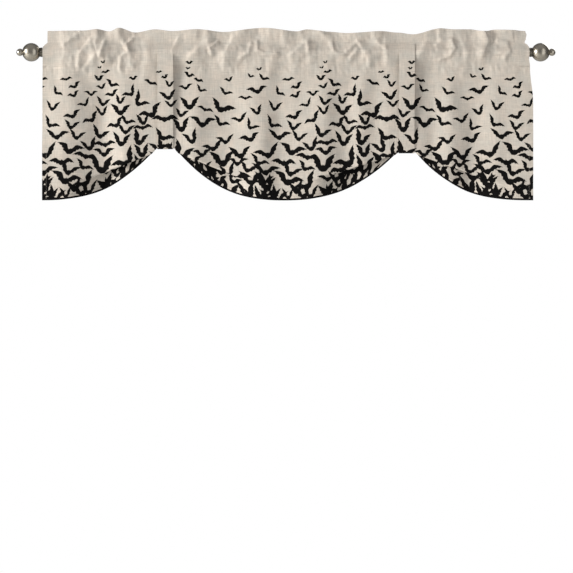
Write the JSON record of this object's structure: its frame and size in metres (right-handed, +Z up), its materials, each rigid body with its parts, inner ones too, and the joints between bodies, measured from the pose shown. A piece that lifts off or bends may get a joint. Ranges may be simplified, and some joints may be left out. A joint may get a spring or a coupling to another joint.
{
  "type": "tie-up valance on curtain rod",
  "caption": "Tie-up valance with a ruffled header on a plain curtain rod with ball finials; cloth straps lift its hem into scallops, and a bat print thickens towards the hem.",
  "frame": {"origin": "the rod's axis, below the middle of the cloth", "axes": "+X along the rod to the viewer's right, +Y away from the viewer towards the wall, +Z up"},
  "size_m": [1.4377, 0.0531, 0.4598],
  "materials": {
    "printed_cloth": "slubby linen-look weave with a matt black print of bats, thickening towards the hem",
    "strap_cloth": "the same linen-look weave, with the same print where it is dense",
    "rod_metal": "satin nickel",
    "finial_metal": "satin nickel"
  },
  "bodies": {
    "root": {"panel": "printed_cloth", "tie_left": "strap_cloth", "tie_right": "strap_cloth", "rod": "rod_metal", "finial_collar_left": "finial_metal", "finial_ball_left": "finial_metal", "finial_collar_right": "finial_metal", "finial_ball_right": "finial_metal"}
  },
  "joints": []
}
